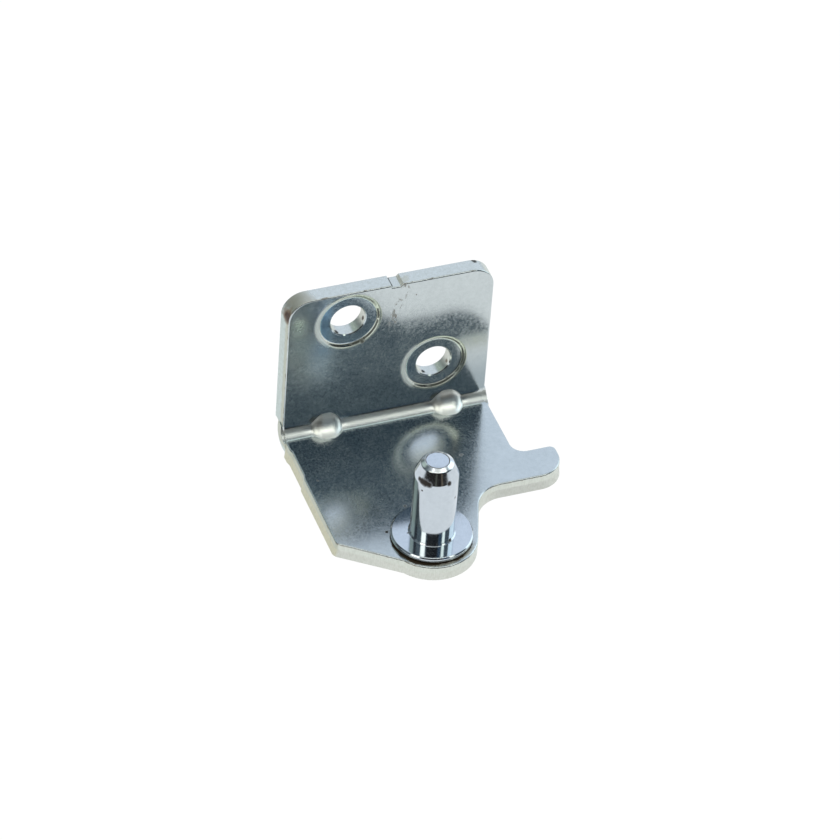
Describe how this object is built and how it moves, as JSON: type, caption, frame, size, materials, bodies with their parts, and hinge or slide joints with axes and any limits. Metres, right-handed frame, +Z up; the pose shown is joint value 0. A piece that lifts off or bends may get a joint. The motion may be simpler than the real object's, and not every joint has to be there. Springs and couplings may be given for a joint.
{
  "type": "fridge door hinge",
  "caption": "Zinc-plated door hinge: folded steel bracket with gussets, coined screw holes and a stop arm, and a riveted collared pin for the door to turn on.",
  "frame": {"origin": "on the hinge pin's axis, in the top face of its collar, where the door's bush rests", "axes": "+Z up the pin, +Y towards the cabinet that the back plate is screwed to, +X along the bend towards the stop arm"},
  "size_m": [0.047, 0.0438, 0.034],
  "materials": {
    "bracket": "bright zinc-plated sheet steel, nearly mirror smooth, with a faint cloudy grain and a few small rust stains",
    "hinge_pin": "bright zinc-plated turned steel, mirror smooth, with a dark grimy line round the collar"
  },
  "bodies": {
    "root": {"bracket": "bracket", "hinge_pin": "hinge_pin"}
  },
  "joints": []
}
